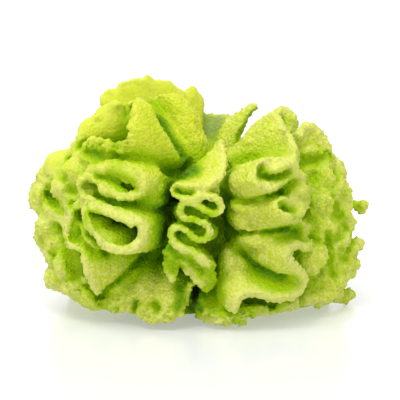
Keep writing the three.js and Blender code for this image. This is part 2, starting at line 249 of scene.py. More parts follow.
# The left side: small broken petals, one under the other.
add_fin("left_petal_high", drawn([
    (81, 157, -11.5), (74, 152, -10), (66, 152.5, -9), (58, 155, -8), (50, 162, -7), (44, 171, -6),
    (41, 181, -6), (47, 181, -7.5), (52, 175, -9), (60, 171, -10), (66, 176, -10.5), (62, 181, -10.5),
    (57, 185, -10.5),
]), root=[(-6, -3, 18.5), (-6, -3, 15)], facing=-70, ragged=0.5, back=0.6)
add_fin("left_petal_outer", drawn([
    (53, 194, -10), (47, 184, -8.5), (41, 182, -7), (35, 182, -6), (31, 188, -5.5), (30, 196, -5.5),
    (33, 205, -6), (38, 212, -7), (44, 218, -9), (52, 218, -10),
]), root=[(-6, -2, 15), (-6, -2, 12)], facing=-80, ragged=0.4, bulge=(1.5, 2, 0), back=0.85)
add_fin("left_petal_inner", drawn([
    (79, 181, -13.5), (71, 179, -12.8), (63, 182, -12.2), (58, 188, -11.8), (57, 196, -12),
    (67, 197, -12.8), (77, 196, -13.5),
]), root=[(-5, -4, 16), (-5, -4, 13.5)], facing=-62, thickness=1, back=0.6)
add_fin("left_petal_small", drawn([
    (79, 198, -13.5), (66, 198.5, -12.6), (55, 200.5, -11.6), (60, 205, -12), (67, 206, -12.6),
    (66, 212, -12.6), (64, 218, -12.3),
]), root=[(-5, -4, 13.5), (-5, -4, 11)], facing=-62, thickness=1.1, ragged=0.5, back=0.85)
add_fin("left_petal_low", drawn([
    (64, 222, -12), (56, 219, -11), (46, 218.5, -9.5), (39, 221, -8), (38, 228, -7.5), (37, 235, -7.5),
    (35.5, 242, -7.5), (41, 248, -8), (46, 256, -8.5), (52, 265, -9),
]), root=[(-6, -3, 10.5), (-6, -2, 7)], facing=-75, thickness=1.3, ragged=0.6, bulge=(1, 1.5, 0), back=0.85)
add_fin("left_petal_foot", drawn([
    (55, 264, -8.5), (51, 274, -8), (52, 283, -8.5), (58, 289, -9), (65, 291, -10), (70, 287, -11),
]), root=[(-7, -2, 6), (-7, -2, 4)], facing=-80, thickness=1.4, ragged=0.6, back=0.85)
add_fin("left_petal_under_lobe", drawn([
    (57, 260, -11), (61, 270, -11.5), (64, 281, -12), (67, 289, -12.5), (73, 286, -13), (77, 280, -13.5),
    (84, 280, -14.5), (88, 286, -14.5),
]), root=[(-6, -4, 8), (-6, -4, 5)], facing=-62, ragged=0.5, back=0.85)
add_fin("foot_far_left", drawn([
    (70, 291, -9.5), (78, 297, -10.5), (88, 301.5, -11.5), (98, 303, -12.5),
]), root=[(-8, -4, 5), (-6, -5, 5)], facing=-55, thickness=2.6, ragged=0.6, back=0.85)

# A ruffle on each side closes the round between the front fins and the back fins.
SIDE_TOP = 21.0  # height of the first loop, in mm
SIDE_DROP = 1.25  # from one point of the edge to the next, with four points to a loop
SIDE_POINTS = 17
SIDE_REACH = 21.5  # how far out the widest loop is
SIDE_WIDEST = 9.0  # and at what height
SIDE_ROUND = 0.035
SIDE_MIDDLE = 3.0
SIDE_SWING = 2.6  # how far the loops swing to the front and to the back


def side_edge(side):
    """Four loops, one under the other, that follow the round of the paste."""
    edge = []
    for k in range(SIDE_POINTS):
        height = SIDE_TOP - k * SIDE_DROP
        reach = SIDE_REACH - SIDE_ROUND * (height - SIDE_WIDEST) ** 2
        edge.append((side * reach, SIDE_MIDDLE + SIDE_SWING * math.sin(k * math.pi / 2), height))
    return edge


for side_name, side in (("left", -1), ("right", 1)):
    add_fin(
        "side_ruffle_" + side_name,
        edge=side_edge(side), root=[(side * 4, 3, 16), (side * 4, 3, 10), (side * 4, 3, 3)],
        facing=side * 95, thickness=1.5, ragged=0.5,
    )

# The lumps: the three values of a middle, then three radii in mm. The middles of the core and of the
# underside are in mm, and the others are drawn. The core's last lump joins the right back petal to it.
CORE = [
    (0, 3, 8, 8, 7, 9.5), (1, 1, 14, 5.5, 5, 6.5), (1.5, 0, 0, 11.5, 8, 3.2),
    (5.3, -0.75, 20.7, 1.1, 0.8, 1.1),
]
UNDERSIDE_LUMPS = [
    (-12, -3, 0.3, 3, 2.6, 1.9), (-7.5, -5, 0.2, 2.6, 2.4, 1.4), (-2.5, -6, 0.4, 2.9, 2.3, 1.7),
    (3, -5.5, 0.2, 2.2, 2.2, 1.3), (7.5, -6.5, 0.3, 2.8, 2.4, 1.7), (12, -4, 0.2, 2.5, 2.6, 1.5),
    (14.5, -1.5, 0.4, 2.6, 2.8, 1.9), (17, 0.5, 0.2, 2.2, 2.7, 1.4), (14.5, 5, 0.3, 2.9, 2.5, 1.8),
    (10, 8, 0.2, 2.4, 2.6, 1.3), (5, 10.5, 0.4, 2.9, 2.3, 1.7), (-0.5, 10, 0.2, 2.3, 2.4, 1.3),
    (-6, 10.5, 0.3, 2.8, 2.5, 1.8), (-11, 7.5, 0.2, 2.4, 2.6, 1.4), (-14.5, 3, 0.4, 2.7, 2.8, 1.8),
    (-15, -2.5, 0.2, 2.3, 2.7, 1.4), (-8.5, 1, 0, 6.5, 7, 2.4), (10.5, 1, 0, 6.5, 6.5, 2.4),
]
DRAWN_LUMPS = [
    # Inside the bellies of the fins.
    (258, 203.5, -15.6, 4, 2.8, 1.3), (243, 260, -12.4, 2.4, 2.8, 2.4), (242, 214, -13.6, 2.2, 3.2, 2.2),
    (264, 238, -14.8, 4.2, 2.7, 1.3), (264, 227.5, -15, 4.2, 2.7, 1), (228, 268, -14, 1.6, 2.2, 3),
    (152, 198, -16.6, 2.4, 2.6, 1.5), (247, 241, -12.6, 2.4, 2.8, 1.3), (233, 256, -12, 2, 2.8, 2.2),
    (153, 187, -16.6, 2.2, 2.8, 2),
    # The left side.
    (64, 166, -7, 3, 2.8, 2.4), (56, 178, -5, 2.8, 2.6, 2.6), (69, 188, -10.4, 2.6, 2.4, 2),
    (42, 197, -5.2, 2, 2.6, 2.6), (62, 207, -8.5, 3, 2.4, 1.8), (54, 232, -5.5, 2.8, 2.6, 3),
    (62, 240, -8, 2.8, 2.4, 2.4), (60, 255, -6, 2.4, 2.4, 2.4), (72, 264, -10.5, 2.6, 2.4, 3.2),
    (60, 277, -7.5, 2.4, 2.4, 2.2), (80, 286, -11, 3, 2.4, 1.6),
    # The crown.
    (287, 123, -0.5, 1.6, 1.6, 2), (310, 150, -5, 2.6, 2.4, 2.8), (304, 160, -7, 2.4, 2.4, 2.2),
    (316, 161, -6.6, 2.8, 2, 1.6),
    # The floors of pockets.
    (272, 171, -17.6, 2.8, 3, 1.7), (285, 168, -16, 2, 3, 1.5), (293, 189, -14, 2.8, 3, 1.8),
    (291, 207.5, -15.8, 2.2, 3, 1.4), (290, 230, -11, 3.2, 3, 1.8), (302, 257, -11.5, 3.4, 3, 2.6),
    (110, 237, -16.3, 4.4, 3.4, 1.9), (97, 226, -15.3, 2.4, 2.6, 2.2), (95, 191, -12.5, 2.8, 2.6, 1.3),
    (80, 216, -12.4, 1.6, 2, 1.8), (209, 206, -16.9, 2.2, 2.8, 1.4), (190, 212, -16.9, 2.4, 2.8, 1.6),
    (203, 231, -16.7, 2.2, 2.8, 1.5), (185, 236, -16.7, 2.2, 2.8, 1.6), (44, 192, -6.4, 1.8, 2.4, 1.6),
    (311, 295, -10.2, 2, 2, 1.5), (92, 296, -13, 2, 2, 1.2), (76, 224, -11.3, 2, 2.6, 3),
    (120, 189, -17, 3.2, 2.6, 1.3), (90, 157, -10.5, 2.6, 2.6, 1.4), (101, 156, -12.6, 3.2, 2.6, 1.2),
    (114, 127, -8, 3.4, 2.6, 3.6), (112, 157, -13.6, 2.6, 2.4, 1.1), (78, 171, -11.5, 2.4, 2.2, 2),
    (52, 226, -8, 2.6, 2.2, 1.8), (109, 122, -5.5, 2, 2, 2.2), (94, 132, -9, 2.4, 2.2, 2.2),
    # The right side.
    (312, 178, -7.4, 3.2, 2.6, 2.6), (326, 190, -5.9, 3, 2.5, 3.2), (316, 205, -7.9, 2.6, 2.4, 3.6),
    (332, 215, -5.4, 2.8, 2.4, 3.4), (318, 232, -8.4, 2.6, 2.4, 3.4), (335, 238, -4.9, 2.4, 2.4, 2.8),
    (320, 255, -8.4, 2.6, 2.4, 3.2), (317, 275, -8.9, 2.8, 2.6, 2.8), (338, 260, -4.9, 2.4, 2.4, 2.8),
    (329, 280, -6.9, 2.4, 2.6, 2.4), (322, 292, -8.4, 2.6, 2.4, 1.8), (331, 293, -5, 2, 2, 1.4),
    (338, 199, -3.9, 2.2, 2.2, 2.6), (333, 176, -3.9, 1.9, 2.2, 2.4), (278, 169, -11, 2.6, 1.6, 2.4),
    # Crumbs at the far right.
    (357, 206, -2, 0.9, 0.8, 0.75), (362, 206, -2, 0.8, 0.8, 0.95), (365, 205, -2, 0.5, 0.6, 0.6),
    (361, 211, -2, 0.6, 0.6, 0.6), (353, 206, -2.5, 0.8, 0.8, 0.6), (343, 297, -3, 1.6, 1.6, 1.1),
    (349, 297, -2, 1.1, 1, 0.9), (354, 295, -2, 0.6, 0.8, 0.7), (345, 299, -2, 0.8, 0.8, 0.7),
    (341, 294, -3, 0.8, 0.8, 0.6),
]
# A rolled lip: a row of balls along a drawn route, and their radius in mm.
ROLLED_LIPS = [
    ((92, 170.5, -15), (104, 169, -17), (117, 170, -18.7), (129, 174.5, -20), (137, 182, -20.6), 0.85),
    ((104, 173, -17), (117, 175, -18.4), (128, 179, -19.6), 0.8),
    ((97, 180, -17.2), (87, 177, -15.4), (80, 182, -14.8), (79, 190, -14.9), (84, 198, -15.9), 0.5),
    ((92, 207, -17.3), (105, 211.5, -18.9), (119, 216, -20.3), (131, 222.5, -21.3), 0.7),
    ((276, 183, -19.8), (284, 178.5, -18.8), (292, 174.5, -17.2), (300, 175.5, -15.6),
     (306, 180.5, -14.6), (308.5, 189, -14.2), (307, 198, -14.8), 0.62),
    ((172, 242, -20.6), (180, 248, -20.8), (190, 253, -20.8), (200, 259, -20.5), (208, 265, -20), 0.6),
    ((187, 271, -19.2), (195, 277, -19.1), (202, 284, -18.9), (208, 289, -18.4), 0.5),
]

# Strokes of a modelling tool over the front: the points, drawn as (across, down), then the width and the
# depth in mm. A negative depth raises a ridge.
STROKES = [
    ((86, 152), (94, 155), (102, 157), 1, 0.9), ((164, 169), (174, 173), (184, 170), (190, 164), 0.8, 1.5),
    ((177, 190), (184, 191.5), (191, 192), 0.45, 1.6),
    ((236, 201), (250, 199.5), (264, 196), (280, 192), 0.4, 0.6),
    ((245, 301.5), (258, 302.5), (274, 304.5), 0.5, 1.5),
    ((240, 232), (256, 233), (272, 231.5), (287, 229.5), 0.4, 1.5),
    ((254, 112), (246, 126), (238, 140), (232, 148), 0.8, 0.9),
    ((284, 137), (283, 147), (279, 155), (270, 160), 0.6, 0.5),
    ((291, 140), (295, 152), (290, 164), (278, 169), 0.9, -0.6),
    ((262, 168), (263, 176), (272, 178.5), (282, 176.5), (290, 171), 0.6, 1.7),
    ((283, 204), (287, 209), (293, 210), 0.6, 1.3), ((293, 205), (299, 206), 0.8, 0.8),
    ((81, 213), (83, 225), (88, 236), (97, 246), (106, 253), 0.55, 1.7),
    ((70, 256), (73, 266), (76, 276), 1.2, 1.2),
    ((253, 264), (262, 270.5), (273, 275), (283, 277), 0.6, 1.4),
    ((239, 249), (246, 256), (253, 264), 0.45, 0.9),
    ((97, 176), (108, 178), (120, 182), (133, 187), 0.5, 1.2),
    ((172, 249), (181, 256.5), (191, 263), (202, 271), 0.6, 0.8), ((174, 270), (181, 268), 0.6, 1.2),
    ((150, 108), (155, 120), (162, 134), (169, 147), (175, 158), 1, -1.1),
    ((161, 120), (168, 133), (176, 146), (183, 157), 0.7, 1.3),
    ((150, 100), (153, 110), (158, 122), 1.2, 0.9),
    ((156, 100), (162, 116), (170, 132), (178, 146), (186, 157), 2, 0.25),
    ((139, 108), (141, 125), (148, 143), (158, 155), 2.2, -0.6),
    ((172, 100), (180, 118), (184, 135), (188, 150), 2.4, -0.7),
    ((150, 251), (138, 264), (122, 279), (107, 291), (99, 298), 0.55, 1.8),
    ((153, 304), (157, 309), 0.7, 2), ((134, 302), (133, 310), 0.5, 1.6),
    ((50, 190), (52, 199), (58, 204), 0.9, 1.4), ((62, 178), (65, 177), 0.7, 1),
    ((71, 190), (77, 192), 0.7, 1), ((98, 195), (108, 200), (118, 204), 0.7, 1),
    ((77, 238), (83, 244), (90, 249), 1.1, 1.4), ((66, 248), (69, 253), 0.8, 1.2),
    ((330, 234), (329, 243), (331, 252), (331, 262), (333, 270), (336, 277), 0.6, 1.6),
    ((327, 238), (327, 250), (329, 262), 0.7, -0.4), ((336, 239), (341, 236), 0.8, 0.8),
    ((335, 209), (338, 212), (341, 216), 0.9, 1.4),
    ((330, 205), (333, 213), (338, 219), (342, 223), 0.6, -0.5), ((347, 224), (349, 229), 0.8, 1.4),
    ((310, 181), (314, 183), (317, 179), 0.7, 1),
    ((299, 163), (310, 160), (320, 158), (327, 156), 0.8, 1.6), ((303, 170), (312, 172), 1.8, 0.9),
    ((335, 170), (340, 185), (344, 199), 0.6, 0.7),
    ((330, 160), (331, 172), (334, 182), (338, 192), 0.7, -0.5), ((331, 185), (333, 190), 0.7, -0.7),
    ((341, 208), (347, 211), 1.4, 0.8), ((345, 256), (349, 248), (352, 243), 0.7, 0.9),
    ((319, 270), (321, 274), 0.6, 0.8), ((309, 282), (318, 285), (326, 284), 0.8, 0.9),
    ((242, 213), (256, 212), (270, 211), (280, 212), 2.4, -1.1),
    ((232, 184), (244, 182), (256, 183), 1.6, -0.9), ((252, 242), (266, 244), (280, 249), 1.6, -0.5),
    ((304, 138), (312, 141), (320, 147), 1.8, -0.6), ((228, 252), (235, 262), (238, 274), 1.6, -0.5),
]
# Where the paste is torn: the points, then the width and the height of the crumbs, in mm.
TORN = [
    ((131, 104), (130, 125), (127, 140), (115, 147), (100, 144), (88, 143), 1.3, 0.7),
    ((250, 138), (262, 124), (275, 112), 1.2, 0.5), ((262, 165), (262, 180), (283, 180), 1, 0.5),
    ((283, 203), (284, 212), (294, 216), 1, 0.6), ((291, 248), (292, 258), 1, 0.5),
    ((192, 106), (198, 122), (202, 140), 1.4, 0.5),
    ((243, 319), (270, 317), (300, 310), (322, 303), 0.8, 0.8),
    ((70, 285), (90, 298), (110, 306), (135, 306), (150, 318), (175, 314), 2, 0.7),
    ((165, 245), (168, 270), (180, 268), (200, 285), (213, 275), 0.7, 0.5),
    ((75, 140), (90, 122), (108, 115), (112, 104), (125, 102), 0.9, 0.35),
    ((102, 100), (120, 84), (148, 78), 1.2, 0.3),
    ((200, 312), (215, 320), (235, 321), (250, 317), 1.2, 0.9),
]
# Painted shade where the paste is painted darker and greener than its folds alone make it: the points, the
# width in mm and the amount, which is negative where painted light makes it lighter.
PAINTED_SHADE_AND_LIGHT = [
    ((110, 173), (121, 176), (132, 181), 0.9, 0.35), ((88, 152), (96, 155), 1.1, 0.35),
    ((236, 159), (248, 159), (258, 156), 0.9, 0.15), ((266, 155), (276, 152), 1.2, 0.1),
    ((300, 158), (309, 158), (319, 156), 1.1, 0.25), ((311, 184), (311, 195), 0.9, 0.25),
    ((188, 256), (196, 262), (202, 268), 0.6, 0.3), ((179, 287), (180, 297), (178, 306), 0.8, 0.9),
    ((194, 290), (195, 300), (193, 309), 1.1, 0.9), ((151, 103), (156, 112), (161, 121), 1.4, 0.3),
    ((149, 118), (156, 133), (166, 149), 2, 0.13), ((166, 102), (171, 116), (177, 130), 1.8, -0.2),
    ((236, 201), (250, 199), (264, 196), (280, 193), 0.5, 0.3),
    ((242, 232.5), (258, 233), (274, 231.5), (288, 230), 0.5, 0.4),
    ((178, 164), (185, 166), (191, 161), (197, 155), 1.2, 0.2), ((209, 272), (213, 280), 1.1, 0.25),
    ((161, 121), (167, 132), (175, 145), (181, 155), (185, 163), 1, 0.5),
    ((140, 288), (158, 282), (170, 290), 2.5, -0.2), ((106, 108), (108, 120), 2.5, -0.3),
    ((91, 128), (97, 132), 1.8, -0.35), ((121, 115), (121, 126), (121, 134), (118, 142), 2, 0.22),
    ((246, 257), (253, 264), (265, 271.5), (280, 276), 0.8, 0.45),
    ((256, 276), (270, 284), (286, 288), 1.6, 0.12), ((262, 174), (275, 177), (287, 174), 0.9, 0.35),
    ((166, 170), (174, 173), (183, 170), 0.9, 0.3), ((190, 174), (199, 168), (205, 160), 1, 0.12),
    ((168, 196), (167, 203), (168, 212), (168, 222), (163, 243), 1.7, 0.55),
    ((225, 202), (226, 208), (224, 220), (226, 228), (226, 236), 1.6, 0.6),
    ((200, 290), (212, 290), (222, 296), 1, 0.3), ((100, 197), (114, 204), 0.8, 0.25),
    ((87, 186), (93, 192), 1.6, -0.35), ((84, 216), (87, 230), (96, 243), 0.8, 0.2),
    ((70, 258), (74, 270), 1.5, 0.15), ((104, 156), (112, 157), (120, 157), 1, -0.15),
    ((331, 237), (331, 252), (334, 275), 0.5, 0.25), ((337, 238), (343, 246), 1, 0.1),
    ((252, 114), (244, 128), (236, 142), 0.7, 0.3), ((217, 222), (217, 232), (215, 245), 1.6, 0.4),
    ((152, 205), (160, 220), (156, 238), 1.6, 0.3), ((244, 302), (260, 303.5), (277, 304.5), 0.8, 0.35),
    ((140, 262), (155, 256), (168, 262), 1.6, 0.3), ((214, 250), (215, 262), (217, 275), 0.7, 0.3),
    ((285, 226), (296, 230), 1, 0.35), ((181, 176), (188, 172), (193, 168), 1.2, 0.9),
    ((222, 146), (216, 160), (213, 174), (204, 185), 1.6, -0.3),
    ((231, 184), (242, 183), (255, 184), (262, 188), 1.8, -0.4),
    ((240, 213), (256, 212), (272, 212), 2.4, -0.3), ((246, 238), (256, 242), 1.5, -0.25),
    ((304, 138), (312, 141), 1.8, -0.15), ((228, 254), (236, 264), 1.8, -0.3),
    ((250, 250), (268, 252), (280, 262), 1.6, -0.15),
]
# The open middle of the crown, where the paste is painted greyer as painted shade in the hollow.
CRATER_SHADE_POINTS = [(206, 121), (212, 121), (218, 121), (207, 130), (212, 130), (216, 126)]
CRATER_SHADE_REACH = 1.5  # mm


def curve_point(before, start, end, after, t):
    """A point of a smooth curve through start and end."""
    return 0.5 * (
        2 * start + (end - before) * t + (2 * before - 5 * start + 4 * end - after) * t * t
        + (3 * start - before - 3 * end + after) * t ** 3
    )


def smooth_route(points, spacing):
    """A smooth curve through points, with its own points about this spacing apart."""
    knots = [np.array(tuple(p) + (0.0,) * (4 - len(p))) for p in points]
    knots = [2 * knots[0] - knots[1]] + knots + [2 * knots[-1] - knots[-2]]
    route = []
    for before, start, end, after in zip(knots, knots[1:], knots[2:], knots[3:]):
        steps = max(2, round(float(np.linalg.norm((end - start)[:3])) / spacing))
        route += [curve_point(before, start, end, after, k / steps) for k in range(steps)]
    route.append(knots[-2])
    return route


def along_root(root, share):
    """The point of a fin's root line at a share of the way down it."""
    knots = [Vector(p[:3]) for p in root]
    if len(knots) == 2:
        return knots[0].lerp(knots[1], share)
    place = share * (len(knots) - 1)
    first = min(int(place), len(knots) - 2)
    knots = [2 * knots[0] - knots[1]] + knots + [2 * knots[-1] - knots[-2]]
    return curve_point(*knots[first:first + 4], place - first)


WIDE_TEARS = 1.1  # to a mm of the edge
NARROW_TEARS = 2.7
NARROW_SHARE = 0.7
TEAR_INSET = 0.1


def tear(seed, distance, ragged):
    """How far the torn edge stands out at this distance along it, in mm. Each seed tears in its own way."""
    wide = noise.noise(Vector((distance * WIDE_TEARS + seed * 7, seed * 3.1, 0)))
    narrow = noise.noise(Vector((distance * NARROW_TEARS, seed * 1.7, 5)))
    return ragged * (wide + NARROW_SHARE * narrow - TEAR_INSET)


def fin_sheet(fin):
    """The fin as a thin sheet: a grid whose long side follows the edge."""
    edge = smooth_route(fin["edge"], EDGE_STEP)
    columns = len(edge) - 1
    root_top = Vector(fin["root"][0][:3])
    reach = (Vector(edge[columns // 2][:3]) - root_top).length
    rows = max(FEWEST_ROWS, round(reach / RULING_STEP))
    angle = math.radians(fin["facing"])
    outward = Vector((math.sin(angle), -math.cos(angle), 0))
    bulge = Vector(fin["bulge"])
    sheet = bmesh.new()
    bmesh.ops.create_grid(sheet, x_segments=columns, y_segments=rows, size=1.0)
    grid = {}
    for v in sheet.verts:
        i, j = round((v.co.x + 1) / 2 * columns), round((v.co.y + 1) / 2 * rows)
        grid[i, j] = v
        t = j / rows
        start = along_root(fin["root"], i / columns)
        tip = Vector(edge[i][:3])
        tip += (tip - start).normalized() * tear(fin["seed"], i * EDGE_STEP, fin["ragged"])
        way = tip - start
        forward = outward * way.dot(outward)
        rest = way - forward
        bend = start + forward * OUTWARD_LEAD
        bend += Vector((rest.x * SIDEWAYS_LEAD, rest.y * SIDEWAYS_LEAD, rest.z * UPWARD_LEAD))
        v.co = start * (1 - t) ** 2 + bend * 2 * t * (1 - t) + tip * t * t + bulge * 4 * t * (1 - t)
    belly = []
    for (i, j), v in grid.items():
        along = grid[min(i + 2, columns), j].co - grid[max(i - 2, 0), j].co
        across = grid[i, min(j + 1, rows)].co - grid[i, max(j - 1, 0)].co
        lift = -edge[i][3] * math.sin(math.pi * (j / rows) ** BELLY_SHAPE)
        belly.append((v, along.cross(across).normalized() * lift))
    for v, move in belly:
        v.co += move
    return sheet


def lump(values):
    """A rounded lump of paste, from the three values of its middle and its three radii."""
    ball = bmesh.new()
    bmesh.ops.create_icosphere(ball, subdivisions=4, radius=1.0)
    bmesh.ops.scale(ball, vec=Vector(values[3:]), verts=ball.verts)
    bmesh.ops.translate(ball, vec=Vector(values[:3]), verts=ball.verts)
    return ball


def new_piece(name, mesh):
    piece = bpy.data.objects.new(name, mesh)
    bpy.context.scene.collection.objects.link(piece)
    return piece


def to_mesh(shape, name):
    mesh = bpy.data.meshes.new(name)
    shape.to_mesh(mesh)
    shape.free()
    return mesh


def modified(mesh, *modifiers):
    """A new mesh: the old one after modifiers, each written as its kind and its settings."""
    piece = new_piece("blank", mesh)
    for kind, settings in modifiers:
        modifier = piece.modifiers.new(kind.lower(), kind)
        for key, value in settings.items():
            setattr(modifier, key, value)
    graph = bpy.context.evaluated_depsgraph_get()
    result = bpy.data.meshes.new_from_object(piece.evaluated_get(graph))
    bpy.data.objects.remove(piece)
    return result


def thick_fin(fin):
    """The fin's sheet with its thickness, half on each side."""
    wall = {"thickness": fin["thickness"], "offset": 0, "use_even_offset": False}
    return modified(to_mesh(fin_sheet(fin), fin["name"]), ("SOLIDIFY", wall))


def triples(items, field):
    """The three numbers of a field of each item, one row for each."""
    values = np.empty(len(items) * 3)
    items.foreach_get(field, values)
    return values.reshape(-1, 3)


def coordinates(mesh):
    return triples(mesh.vertices, "co")


def set_coordinates(mesh, values):
    mesh.vertices.foreach_set("co", values.ravel())
    mesh.update()


def joined_paste():
    """All sheets and lumps in one mesh, flat where they meet the table."""
    lumps = CORE + UNDERSIDE_LUMPS + [from_drawing(d[:3])[:3] + d[3:] for d in DRAWN_LUMPS]
    for *route, radius in ROLLED_LIPS:
        lumps += [tuple(p[:3]) + (radius,) * 3 for p in smooth_route(drawn(route), LIP_STEP)]
    shape = bmesh.new()
    for mesh in [thick_fin(fin) for fin in FINS] + [to_mesh(lump(values), "lump") for values in lumps]:
        shape.from_mesh(mesh)
        bpy.data.meshes.remove(mesh)
    for v in shape.verts:
        v.co.z = max(v.co.z, 0.0)
    return to_mesh(shape, "wasabi_paste")


def skinned(mesh):
    """One closed skin round everything, with its joins softened."""
    skin = {"mode": "VOXEL", "voxel_size": SKIN_VOXEL}
    soften = {"iterations": SKIN_SMOOTHING, "factor": 0.5}
    return modified(mesh, ("REMESH", skin), ("SMOOTH", soften))


SIGHT_DEPTH = -30.0  # a Y in front of all paste, in mm, where a line of sight is still above the table
STROKE_STEP = 2.0  # steps of the drawing between two points of a stroke
STROKE_MARGIN = 12.0  # mm, so that the search round a stroke's middle holds all of it
STROKE_FADE = 3  # widths from a stroke to where it has no effect
STROKE_LEAN = 0.5  # the share of a stroke's push that follows the skin, with the rest away from the front
LEAST_TEAR = 0.05  # skin that is less than this under a torn place stays as it is


def touched(tree, points):
    """Where lines of sight through the points of a stroke meet the skin, and the skin's directions there."""
    places, directions = [], []
    for across, down, *_ in smooth_route([(a, d, 0) for a, d in points], STROKE_STEP):
        target = Vector(from_drawing((across, down, SIGHT_DEPTH))[:3])
        place, normal = tree.ray_cast(VIEW_PLACE, (target - VIEW_PLACE).normalized())[:2]
        if place:
            places.append(place)
            directions.append(normal)
    return np.array(places), np.array(directions)


def stroke_reach(places, stroke_places, width):
    """How far each point of the skin is under a stroke, from 1 to 0, and the stroke's nearest point to it."""
    gaps = np.linalg.norm(places[:, None, :] - stroke_places[None, :, :], axis=2)
    nearest = gaps.argmin(axis=1)
    return np.exp(-(gaps.min(axis=1) / width) ** 2), nearest


def under_stroke(tree, places, points, width):
    """The skin's points near a stroke, how far each is under it, and the skin's directions there."""
    stroke, directions = touched(tree, points)
    near = np.abs(places - stroke.mean(axis=0)) < STROKE_FADE * width + STROKE_MARGIN
    picked = np.flatnonzero(near.all(axis=1))
    reach, nearest = stroke_reach(places[picked], stroke, width)
    return picked, reach, directions[nearest]


def search_tree(mesh):
    return BVHTree.FromPolygons([v.co for v in mesh.vertices], [f.vertices for f in mesh.polygons])


def worked(mesh):
    """Presses the strokes into the skin and tears its torn places."""
    places = coordinates(mesh)
    tree = search_tree(mesh)
    normals = triples(mesh.vertex_normals, "vector")
    to_front = np.array(VIEW_PLACE.normalized()) * (1 - STROKE_LEAN)
    for *points, width, depth in STROKES:
        picked, reach, directions = under_stroke(tree, places, points, width)
        places[picked] -= (directions * STROKE_LEAN + to_front) * (reach * depth)[:, None]
    for *points, width, height in TORN:
        picked, reach, _ = under_stroke(tree, places, points, width)
        for i, share in zip(picked, reach):
            if share > LEAST_TEAR:
                p = Vector(places[i])
                rough = bumps(p, *WIDE_CRUMBS) + bumps(p, *NARROW_CRUMBS)
                places[i] += normals[i] * rough * share * height
    set_coordinates(mesh, places)


# Where the skin changes from one finish to another: the two ends of each change, in mm.
CALM_HEIGHT = (20.0, 23.0)
CALM_LEFT_Y = (-12.5, -9.5)
CALM_LEFT_WAY = (6.5, 9.0)  # towards -X
CALM_BEHIND_Y = (-6.5, -4.5)
CALM_BEHIND_WAY = (-2.0, 0.5)  # towards -X
BROKEN_RIGHT = (14.0, 17.5)
BROKEN_LEFT = (16.5, 20.0)  # towards -X
RIM_WIDTH = (0.5, 1.7)
BROKEN_LEFT_SHARE = 0.5  # the left side is broken half as much


def ramp(ends, value):
    """0 below the first end, 1 above the second, smooth between."""
    low, high = ends
    t = min(max((value - low) / (high - low), 0.0), 1.0)
    return t * t * (3 - 2 * t)


def calm_share(p):
    """1 on the smooth petals at the upper left and at the top behind, 0 on the grainy rest."""
    left = ramp(CALM_LEFT_Y, p[1]) * ramp(CALM_LEFT_WAY, -p[0])
    behind = ramp(CALM_BEHIND_Y, p[1]) * ramp(CALM_BEHIND_WAY, -p[0])
    return ramp(CALM_HEIGHT, p[2]) * max(left, behind)


# Roughness: the height of each layer in mm, its bumps to a mm, and where in the noise it starts, if not at 0.
UNEVEN = (0.1, 0.45)
BROKEN_WIDE = (0.5, 0.42, (3, 8, 1))
BROKEN_NARROW = (0.4, 0.95)
BROKEN_KNOBS = (0.5, 0.75, (7, 2, 8))
WIDE_TEETH = (0.12, 1.25, (1, 6, 2))
NARROW_TEETH = (0.22, 2.4)
WIDE_CRUMBS = (1, 0.9, (4, 4, 1))
NARROW_CRUMBS = (0.8, 1.9)
# The grains' layers have a height of 1, and are multiplied by a height that grows on the broken sides.
COARSE_GRAINS = (1, 1.1, (9, 2, 4))
COARSE_HEIGHT = 0.08
COARSE_GROWTH = 0.22
FINE_GRAINS = (1, 1.7)
FINE_HEIGHT = 0.4
FINE_GROWTH = 0.08
BROKEN_INSET = 0.25  # mm, so that the bumps don't swell the paste
GRAIN_INSET = 0.12
CALM_LOSS = 0.85  # the share of its roughness that calm paste lacks
UNDERSIDE_BAND = 0.25  # mm above the table
UNDERSIDE_FACING = -0.3


def bumps(p, height, pitch, start=(0, 0, 0)):
    return height * noise.noise(p * pitch + Vector(start))


def grain(mesh):
    """Pushes the skin in and out: broad unevenness, broken lumps at the sides, and fine grains."""
    places = coordinates(mesh)
    normals = triples(mesh.vertex_normals, "vector")
    rims = rim_nearness(mesh)
    for i, (place, normal, rim) in enumerate(zip(places, normals, rims)):
        p = Vector(place)
        side = max(ramp(BROKEN_RIGHT, p.x), ramp(BROKEN_LEFT, -p.x) * BROKEN_LEFT_SHARE)
        broken = bumps(p, *BROKEN_WIDE) + bumps(p, *BROKEN_NARROW) + abs(bumps(p, *BROKEN_KNOBS))
        coarse = (COARSE_HEIGHT + COARSE_GROWTH * side) * abs(bumps(p, *COARSE_GRAINS))
        fine = (FINE_HEIGHT + FINE_GROWTH * side) * abs(bumps(p, *FINE_GRAINS))
        teeth = rim * (bumps(p, *WIDE_TEETH) + bumps(p, *NARROW_TEETH))
        height = bumps(p, *UNEVEN) + side * (broken - BROKEN_INSET) + coarse + fine + teeth - GRAIN_INSET
        height *= 1 - CALM_LOSS * calm_share(p)
        places[i] = place + normal * height
    underside = (places[:, 2] < UNDERSIDE_BAND) & (normals[:, 2] < UNDERSIDE_FACING)
    places[underside, 2] = 0.0
    places[:, 2] = np.maximum(places[:, 2], 0.0)
    set_coordinates(mesh, places)


def lighter(mesh):
    """The same skin with fewer triangles."""
    triangles = sum(len(f.vertices) - 2 for f in mesh.polygons)
    thin = {"ratio": min(1.0, SKIN_TRIANGLES / triangles), "use_collapse_triangulate": True}
    return modified(mesh, ("DECIMATE", thin))


CREVICE_REACH = 9.0  # mm, how far paste across a crevice shades it
CREVICE_RAYS = 20
RAY_LIFT = 0.08  # mm, how far above the skin a ray starts
SAMPLE_EVERY = 4
NEAREST_SAMPLES = 4
EDGE_SAMPLE_STEP = 0.5  # mm between the points of an edge that a rim is measured from


